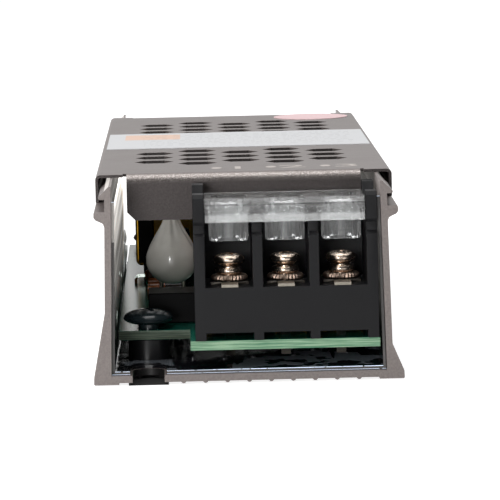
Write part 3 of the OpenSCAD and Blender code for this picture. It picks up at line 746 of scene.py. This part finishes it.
# %% Screw heads
def head(place, turn, radius, dome, rim, arm, slot_half, power):
    """A domed disc with a cross recess, then a rounded rim below it.

    Square to disc: x = u sqrt(1 - v v / 2), y = v sqrt(1 - u u / 2). The dome is
    z = dome sqrt(1 - s^power), s = the distance from the middle over the radius, and the rim follows
    r = radius cos t, z = rim sin t, for t from 0 to -70 degrees. The recess is three quarters of
    the dome deep.
    """
    outer = np.linspace(1, arm, 7)[:-1]
    inner = np.linspace(arm, slot_half, 5)[:-1]
    close = np.array([slot_half, slot_half * 0.8, 0])
    half = np.concatenate((outer, [arm * 1.04], inner, close))
    line = np.sort(np.concatenate((half, -half[:-1])))
    u, v = np.meshgrid(line, line, indexing="ij")
    x, y = u * np.sqrt(1 - v * v / 2), v * np.sqrt(1 - u * u / 2)
    s = np.clip(np.hypot(x, y), 0, 1)
    z = dome * np.sqrt(np.clip(1 - s ** power, 0, 1))
    narrow, long = slot_half * 0.9, arm * 1.01
    cross = ((abs(u) < narrow) & (abs(v) < long)) | ((abs(v) < narrow) & (abs(u) < long))
    z = np.where(cross, z - dome * 0.75, z)
    count = len(line)
    top = np.stack((x * radius, y * radius, z), axis=-1).reshape(-1, 3)
    faces = grid_faces(count, count, wrap_columns=False)
    index = np.arange(count * count).reshape(count, count)
    loop = np.concatenate((index[0, :-1], index[:-1, -1], index[-1, :0:-1], index[:0:-1, 0]))
    t = np.radians(np.linspace(0, -70, 6))[1:, None, None]
    edge = top[loop][None]
    skirt = np.concatenate((edge[..., :2] * np.cos(t), rim * np.sin(t) + 0 * edge[..., 2:]), axis=-1)
    numbers = np.concatenate((loop, len(top) + np.arange(5 * len(loop))))
    faces += numbers[grid_faces(6, len(loop))].tolist() + [numbers[-len(loop):].tolist()]
    points = np.concatenate((top, skirt.reshape(-1, 3)))
    c, s = math.cos(turn), math.sin(turn)
    points[:, :2] = points[:, :2] @ np.array(((c, s), (-s, c)))
    return points + place, faces


def fitted_screws(label, shank, material, slot, **shape):
    """A head and a plain shank inside the box of each solid of a node, each turned a little further."""
    parts = []
    for index, (low, high) in enumerate(solids_of(label)):
        x, y, z = foot_of(low, high)
        under = high[2] - shape["dome"]
        parts.append(head((x, y, under), 0.35 + 0.61 * index, **shape))
        parts.append(rings([shank, shank], [z, under - shape["rim"] + 0.15], (x, y, 0), 24))
    new_piece(label + "_turned", parts, [material], slot, label)


def barrel(low, high):
    """A round spring washer: r = R (1 - 0.14 k^2), with k from -1 at the foot to 1 at the top."""
    k = np.linspace(-1, 1, 9)
    middle, half = halves(low, high)
    return rings(half[0] * (1 - 0.14 * k ** 2), k * half[2], middle, 40)


for end in ENDS:
    fitted_screws(end + "_screws", 1.5, NICKEL, "nickel_steel",
                  radius=2.65, dome=0.95, rim=1.4, arm=0.52, slot_half=0.13, power=2.4)
    each_solid(end + "_spring_washers", barrel, end + "_barrels", [NICKEL], "nickel_steel")
fitted_screws("board_screws", 1.8, BLACK_STEEL, "black_steel",
              radius=4.35, dome=1.6, rim=1.25, arm=0.5, slot_half=0.1, power=2.0)

# %% [markdown]
# ## Toothed washers
# The washer under each terminal screw has teeth that bite into a lug. In an array they are a
# cosine on the outer radius and a sine on its height.

# %% Toothed washers
def toothed_ring(low, high, hole=1.65, teeth=30):
    """Six loops round the washer; the outer two follow r = R (0.975 + 0.025 cos(n a))."""
    radius, _, height = (high - low) / (2, 2, 1)
    angle = circle(teeth * 8)
    lift = 0.05 * np.sin(teeth * angle)
    outer = radius * (0.975 + 0.025 * np.cos(teeth * angle))
    loops = ((hole, 0.12), (hole, height - 0.12), (outer - 0.3, height - 0.12 + lift),
             (outer, height * 0.62 + lift), (outer, height * 0.32 + lift), (outer - 0.2, 0.14 + lift))
    points = np.concatenate([polar(r, angle, z) for r, z in loops]) + foot_of(low, high)
    return points, grid_faces(len(loops), len(angle), wrap_rows=True)


for end in ENDS:
    each_solid(end + "_square_washers", toothed_ring, end + "_toothed_washers", [BROWN_NICKEL],
               "nickel_steel", sharp=25)

# %% [markdown]
# ## Capacitor cans
# An electrolytic capacitor is a drawn can in a shrink sleeve: a pinched ring near the foot, a
# rolled shoulder, and a bare top that is sunk a little. It is one profile turned round, written in
# shares of the can's own size.

# %% Cans
def can(low, high):
    """Rings from the foot to the middle of the top: the pinch is r = R (1 - 0.06 (1 - p^2)), and
    the shoulder is a quarter circle."""
    radius, _, tall = (high - low) / (2, 2, 1)
    pinch = np.linspace(-1, 1, 9)
    shoulder = np.radians(np.linspace(0, 90, 7))
    bend = radius * 0.12
    r = np.concatenate((
        [radius * 0.9, radius * 0.98], radius * (1 - 0.06 * (1 - pinch ** 2)), [radius],
        radius - bend + bend * np.cos(shoulder), [radius * 0.8, radius * 0.78, radius * 0.05]))
    z = np.concatenate((
        [0, bend * 0.4], tall * 0.08 + pinch * bend * 0.9, [tall * 0.3],
        tall - bend + bend * np.sin(shoulder), [tall, tall - bend * 0.35, tall - bend * 0.35]))
    return rings(r, z, foot_of(low, high), 56)


for label in ("bulk_capacitor", "output_capacitors", "small_capacitors"):
    each_solid(label, can, label + "_cans", [SLEEVE, BARE], "capacitor_sleeve",
               pick=lambda middles, upness: upness > 0.95)

# %% [markdown]
# ## The sleeved drop
# A varistor in a silicone sleeve hangs like a drop under its gathered neck. It is turned like the
# cans, and a sway on each ring adds the pleats: deep at the neck, fading out towards the belly.

# %% Sleeved drop
drop_box = box_of("sleeved_varistor")
drop_place = foot_of(*drop_box)
drop_half = halves(*drop_box)[1]
DROP_FOOT = 4.5
DROP_TALL = 2 * drop_half[2] - DROP_FOOT
BELLY = 0.28


def drop_radius(share):
    """Radius over the share of the height: round below, drawn in to a neck above.

    The belly is sqrt(h (2 m - h)) / m up to its middle m; above it a smooth step leads to the neck.
    """
    belly = np.sqrt(np.clip(share * (2 * BELLY - share), 0, None)) / BELLY
    rise = np.clip((share - BELLY) / 0.57, 0, 1)
    neck = 1 - 0.76 * (3 * rise ** 2 - 2 * rise ** 3)
    return np.where(share < BELLY, belly, neck)


def pleats(angle, z):
    """Folds of the sleeve: none below 0.35 of the drop's height, deepest at the top of its neck."""
    depth = np.clip((z - DROP_FOOT) / DROP_TALL - 0.35, 0, 1) * 0.2
    return depth * (np.cos(7 * angle + 0.4 * z) + 0.5 * np.cos(11 * angle)) - depth * 0.6


def silicone_finish():
    """Milky rubber with a painted glow, an emission strongest where it looks to the left, forwards and up.
    """
    made, tree, surface = start_material("silicone_sleeve", Roughness=0.16, Specular_IOR_Level=0.9)
    looks = node(tree, "VectorMath", place_of(tree, "Normal"), (-0.68, -0.62, 0.38),
                 operation="DOT_PRODUCT")[1]
    fine, slow = use(tree, GRAIN, Size=2.6)
    milky = mix(fine, rgb(206, 202, 192), rgb(230, 227, 220))
    # Painted light: the side towards the lamps glows as an emission.
    painted_glow = ramp(slow * 0.5 + looks, 0.7, 1.45)
    fill(surface, Base_Color=milky, Emission_Color=milky, Emission_Strength=painted_glow * 0.2,
         Normal=bump(slow, 0.35, 0.6))
    return made


share = np.concatenate((np.linspace(0.004, 0.1, 8), np.linspace(0.13, 1.0, 30)))
drop_r = drop_half[0] * np.minimum(drop_radius(share), 0.99)
drop = [rings(drop_r, DROP_FOOT + share * DROP_TALL, drop_place, 72, pleats)]
drop += [rings([0.4, 0.4], [0, DROP_FOOT + 0.6], drop_place + (side, 0, 0), 16) for side in (-2, 2)]
new_piece("sleeved_drop", drop, [silicone_finish(), TIN], "grey_sleeve", "sleeved_varistor",
          pick=lambda middles, upness: middles[:, 2] < drop_place[2] + DROP_FOOT)

# %% [markdown]
# ## Wound coils
# Enamelled wire goes round and round a ring. The wire's path is a formula: one angle runs along the
# ring while another runs round its section, and the section is squared off so that the wire lies
# flat on the core. A tube then follows the path.

# %% Coils
def wound(core, hole, wire, turns, start, sweep, upright=False):
    """A coil on a ring: path angle a, section angle b = 2 pi turns (a - start) / sweep.

    The section is squared with sign(cos b) |cos b|^0.6. The hole is a share of the ring's radius,
    and an upright ring has its axis along Y.
    """
    middle, half = halves(*box_of(core))
    outside, thick = half[0], half[1 if upright else 2]
    inside = outside * hole
    steps = int(turns * 22)
    a = start + np.linspace(0, sweep, steps)
    b = np.linspace(0, 2 * np.pi * turns, steps)
    across, along = (np.sign(w) * np.abs(w) ** 0.6 for w in (np.cos(b), np.sin(b)))
    radial = (inside + outside) / 2 + ((outside - inside) / 2 + wire + 0.02) * across
    axial = (thick + wire + 0.02) * along
    x, y = radial * np.cos(a), radial * np.sin(a)
    path = np.stack((x, axial, y) if upright else (x, y, axial), axis=-1)
    return tube(path + middle, wire, 8)


banks = [wound("choke_core", hole=0.55, wire=0.44, turns=11, start=start, sweep=2.2, upright=True)
         for start in (-1.1, math.pi - 1.1)]
new_piece("choke_coils", banks, [COPPER], "copper", "choke_windings")
coil = wound("output_inductor_core", hole=0.54, wire=0.46, turns=22, start=0.3, sweep=5.8)
new_piece("inductor_coil", [coil], [COPPER], "copper", "output_inductor_winding")

# %% [markdown]
# ## Wires, pins and solder
# Bent jumpers stand on the board, and under it every lead ends in a cone of solder: a hollow curve,
# wide on the board and narrow up the lead.

# %% Wires and solder
def wire_finish():
    """Tinned wire with a painted glint, an emission that is stronger in patches where the grain > 0.45."""
    made, tree, surface = start_material(
        "bright_wire", Metallic=0.6, Roughness=0.25, Emission_Color=rgb(232, 242, 234))
    fine, _ = use(tree, GRAIN, Size=0.8)
    # Painted highlight: the wire glows as an emission.
    fill(surface, Base_Color=mix(fine, rgb(196, 204, 198), rgb(246, 250, 244)),
         Emission_Strength=(fine > 0.45) * 0.6 + 0.4)
    return made


def bent_jumper(low, high):
    """A wire standing in a low arch that leans out: (-0.6 sin t, -cos t, 0.7 sqrt(sin t))."""
    middle, half = halves(low, high)
    t = np.linspace(0, np.pi, 24)
    lift = np.sqrt(np.clip(np.sin(t), 0, 1)) * (2 * half[2] - 0.4) * 0.7
    along = middle[1] - (half[1] - 0.35) * np.cos(t)
    return tube(np.stack((middle[0] - 0.6 * np.sin(t), along, low[2] + lift), axis=-1), 0.36)


def solder_cone(x, y):
    """r = 0.45 + 0.75 (1 - h)^3 over the share h of the cone's depth, then the lead's end."""
    h = np.linspace(0, 1, 8)
    r = np.concatenate((0.45 + 0.75 * (1 - h) ** 3, [0.44, 0.3]))
    z = np.concatenate((-1.1 * h, [-1.5, -1.6]))
    return rings(r, z + 0.03, (x, y, box_of("main_board")[0][2]), 20)


BRIGHT = wire_finish()
each_solid("jumper_wires", bent_jumper, "bent_jumpers", [BRIGHT], "tin_plate")

LEADED = ("fuse", "bridge_rectifier", "ceramic_capacitor", "sleeved_varistor", "x_capacitor",
          "choke_base", "bulk_capacitor", "output_capacitors", "small_capacitors", "resistors",
          "mosfet", "output_diode", "transformer_bobbin", "optocoupler", "y_capacitor", "thermistor")
cones = []
for label in LEADED:
    for middle, half in (halves(*pair) for pair in solids_of(label)):
        reach = min(half[0] * 0.6, 5.0)
        cones += [solder_cone(middle[0] + side * reach, middle[1]) for side in (-1, 1)]
new_piece("solder_joints", cones, [SOLDER], "tin_plate")

# %% [markdown]
# ## The axial part
# A small brown part lies across the board on one bent wire that runs right through its body, with
# a rounded corner at each end.

# %% Axial part
def bent_lead(reach, rise, corner, place):
    """A wire up, across and down again; its corners are quarter circles of radius corner."""
    t = np.radians(np.linspace(0, 90, 7))
    right = np.stack((reach - corner + corner * np.cos(t), rise - corner + corner * np.sin(t)), axis=-1)
    left = right[::-1] * (-1, 1)
    flat = np.concatenate(([[reach, 0]], right, left, [[-reach, 0]]))
    return tube(np.insert(flat, 1, 0.0, axis=1) + place, 0.3)


def axial_body(half, radius, place):
    """A glazed rod along X: r = radius (1 - 0.45 |k|^6), with k from -1 to 1 along its length."""
    k = np.linspace(-1, 1, 15)
    points, faces = rings(radius * (1 - 0.45 * abs(k) ** 6), k * half, (0, 0, 0), 28)
    return points[:, [2, 1, 0]] + place, faces


AXIAL_RISE = 1.5
foot = foot_of(*box_of("ceramic_capacitor"))
axial = [axial_body(1.7, 1.15, foot + (0, 0, AXIAL_RISE)), bent_lead(3.4, AXIAL_RISE, 0.8, foot)]
brown_dip = gloss_finish("brown_dip", rgb(136, 78, 38), 0.28)
new_piece("axial_part", axial, [brown_dip, BRIGHT], "brown_coat", "ceramic_capacitor",
          pick=lambda middles, upness: np.hypot(
              middles[:, 1] - foot[1], middles[:, 2] - foot[2] - AXIAL_RISE) < 0.45)

# %% [markdown]
# ## Transformer tape
# Yellow tape holds the transformer's core together: a loop with rounded corners, at two depths.

# %% Tape band
def band(low, high, corner, thick, inset):
    """A rounded rectangle in X and Z round a box, thick millimetres proud, inset from its ends in Y."""
    middle, half = halves(low, high)
    arcs = []
    for index, signs in enumerate(((1, 1), (-1, 1), (-1, -1), (1, -1))):
        turn = np.radians(np.linspace(0, 90, 7)) + index * np.pi / 2
        centre = middle[[0, 2]] + (half[[0, 2]] - corner) * signs
        arcs.append(centre + (corner + thick) * np.stack((np.cos(turn), np.sin(turn)), axis=-1))
    loop = np.concatenate(arcs)
    inner = loop + (middle[[0, 2]] - loop) * 0.03
    near, far = low[1] + inset, high[1] - inset
    rows = [np.insert(ring, 1, y, axis=1)
            for ring, y in ((loop, near), (loop, far), (inner, far), (inner, near))]
    return np.concatenate(rows), grid_faces(4, len(loop), wrap_rows=True)


def tape_finish():
    """Yellow film that lights up, seen edge on, as the case's walls do."""
    made, tree, surface = start_material("polyester_tape", Roughness=0.4)
    slow = use(tree, GRAIN, Size=0.8)[1]
    fill(surface, Base_Color=mix(slow, rgb(190, 140, 34), rgb(232, 178, 48)))
    edge_on_light(surface, use(tree, FACING)[0], rgb(200, 150, 40), rgb(214, 164, 46), 0.9)
    return made


tape = band(*box_of("transformer_core"), 0.6, 0.5, 0.6)
new_piece("transformer_tape", [tape], [tape_finish()], "yellow_case")

# %% [markdown]
# ## The rest of the board
# These parts keep their solids, with softened edges where they aren't already round, and take the
# finish of their kind.

# %% Other parts
def resistor_finish():
    """A brown glazed body with a dark far half: the mask is X > -14.3 mm."""
    made, tree, surface = start_material("glazed_resistor", Roughness=0.25)
    fine, _ = use(tree, GRAIN, Size=0.7)
    dark = split(place_of(tree))[0] > -14.3 * MM
    brown = mix(fine, rgb(126, 66, 30), rgb(178, 104, 54))
    fill(surface, Base_Color=mix(dark, brown, rgb(34, 26, 22)))
    return made


def dress(label, material):
    """Gives a CAD node a material."""
    data = nodes[label].data
    data.materials.clear()
    data.materials.append(material)
    print(label, "has", material.name)


SOFTENED = (
    (BLACK, 0.25, "choke_base", "transformer_bobbin", "control_chip"),
    (BLACK_CASE_IN_SHADE, 0.25, "bridge_rectifier", "fuse"),
    (moulding_finish("epoxy_package", rgb(34, 34, 36), 0.5), 0.2, "mosfet", "output_diode"),
    (FERRITE, 0.3, "choke_core", "transformer_core"),
    (BARE, 0.15, "primary_heatsink", "secondary_heatsink"),
    (gloss_finish("blue_plastic", rgb(36, 78, 170), 0.35), 0.2, "trimmer_body", "y_capacitor"),
    (gloss_finish("green_dip", rgb(26, 76, 54), 0.35), 0.5, "thermistor"),
    (YELLOW, 0.3, "x_capacitor", "transformer_winding", "output_inductor_core"),
    (moulding_finish("black_spacer", rgb(24, 24, 26), 0.32), 0.2, "board_standoffs"),
)
for finish, width, *labels in SOFTENED:
    for label in labels:
        soft_copy(label, width, finish)
pale_plastic = gloss_finish("pale_plastic", rgb(222, 216, 200), 0.35)
soft_copy("trimmer_rotor", 0.08, pale_plastic, body="trimmer")
dress("optocoupler", gloss_finish("white_package", rgb(206, 204, 196), 0.4))
dress("status_led", gloss_finish("green_lens", rgb(120, 220, 130), 0.12))
dress("resistors", resistor_finish())
dress("heatsink_screws", NICKEL)

# %% [markdown]
# ## Label and sticker
# Print is only fields of colour: a pale orange block, and faint grey rows that stand for small
# print without any letters: a fast noise along each row cut off at a level, and a sawtooth across.

# %% Paper
def label_finish():
    """Rows: |fraction(Y / 3.4) - 0.5| < 0.2, broken up by noise along X."""
    made, tree, surface = start_material("white_label", Roughness=0.45)
    middle_y = halves(*box_of("rating_label"))[0][1]
    x, y, _ = split(place_of(tree))
    row = y * (1000.0 / 3.4)
    in_row = abs(maths("FRACT", row + 100.0) - 0.5) < 0.2
    stretch = node(tree, "CombineXYZ", x * 900.0, maths("FLOOR", row))[0]
    strokes = node(tree, "TexNoise", stretch, Scale=1.0)[0] > 0.5
    field = use(tree, FIELD, Middle_X=2.0, Middle_Y=middle_y, Half_X=20.0, Half_Y=14.5)
    block = use(tree, FIELD, Middle_X=-16.2, Middle_Y=middle_y + 8.6, Half_X=5.3, Half_Y=6.0)
    paper = mix(block, rgb(204, 205, 207), rgb(220, 186, 166))
    fill(surface, Base_Color=mix(in_row * strokes * field * 0.22, paper, rgb(120, 116, 116)))
    return made


dress("rating_label", label_finish())
dress("round_sticker", gloss_finish("pink_paper", rgb(240, 206, 208), 0.5))

# %% [markdown]
# ## Light and floor
# A studio sweep: everything behind and above is white, the room behind the camera is darker, and a
# large soft lamp hangs overhead. World and floor are brighter for rays that end in the camera, so
# the background is plain white without more light on the object. In the gap of the mounting slot
# the floor takes a painted shade, almost black.

# %% World, lamps and floor
def rays(tree):
    """1 for the camera's rays; 1 for those, for mirrored rays and for rays bent by glass."""
    path = tree.nodes.new("ShaderNodeLightPath").outputs
    camera, glossy, bent = (Value(path[f"Is {kind} Ray"]) for kind in ("Camera", "Glossy", "Transmission"))
    return camera, maths("MAXIMUM", maths("MAXIMUM", camera, bent), glossy)


def make_world():
    """A room whose brightness runs with the direction's Y, from 0.12 in front to 1 behind."""
    world = bpy.data.worlds.new("studio")
    bpy.context.scene.world = world
    world.use_nodes = True
    tree = world.node_tree
    tree.nodes.clear()
    front = ramp(split(place_of(tree, "Generated"))[1], -0.7, 0.3, 0.12, 1.0)
    camera_rays, clear_rays = rays(tree)
    room = node(tree, "Background", Strength=front * 0.75)[0]
    shown = node(tree, "Background", Strength=maths("MAXIMUM", front, camera_rays))[0]
    node(tree, "OutputWorld", *node(tree, "MixShader", clear_rays, room, shown))


def soft_lamp(name, place, aim, size, watts):
    """A square lamp of size metres that looks at aim."""
    data = bpy.data.lights.new(name, "AREA")
    data.size = size
    data.energy = watts
    lamp = new_object(name, data)
    lamp.location = place
    lamp.rotation_euler = (Vector(aim) - Vector(place)).to_track_quat("-Z", "Y").to_euler()


def make_floor(half=4.0, z=-0.2 * MM):
    """One square face just under the case; half its side and its height in metres."""
    mesh = bpy.data.meshes.new("floor")
    corners = [(x * half, y * half, z) for x, y in ((-1, -1), (1, -1), (1, 1), (-1, 1))]
    mesh.from_pydata(corners, [], [(0, 1, 2, 3)])
    floor = new_object("floor", mesh)
    made, tree, surface = start_material("pale_floor", Roughness=0.9)
    # Painted shade: under the mounting slot the floor is almost black and gets half the glow.
    under = use(tree, FIELD, Middle_X=SLOT_X, Half_X=SLOT_HALF, Half_Y=HALF_LENGTH - 0.3)
    paint = mix(under, (0.9, 0.9, 0.9, 1), (0.01, 0.01, 0.01, 1))
    plain = fill(surface, Base_Color=paint)[0]
    glow = node(tree, "Emission", Strength=1.7)[0]
    share = rays(tree)[1] * (under * -0.5 + 0.5)
    out = next(n for n in tree.nodes if n.type == "OUTPUT_MATERIAL")
    fill(out, *node(tree, "MixShader", share, plain, glow))
    mesh.materials.append(made)


make_world()
soft_lamp("overhead", (-0.2, -0.1, 0.9), (0, 0, 0), 0.9, 7.0)
soft_lamp("front_left", (-0.7, -0.9, 0.6), (0, 0, 0.02), 0.5, 4.0)
soft_lamp("front_low", (-0.3, -1.15, 0.14), (-0.01, -0.04, 0.016), 0.3, 4.0)
make_floor()
print("studio ready")

# %% [markdown]
# ## The end
# The dressed model has to fill the same space as the solids. The last step brings the view layer
# up to date.

# %% Finish
bpy.context.view_layer.update()
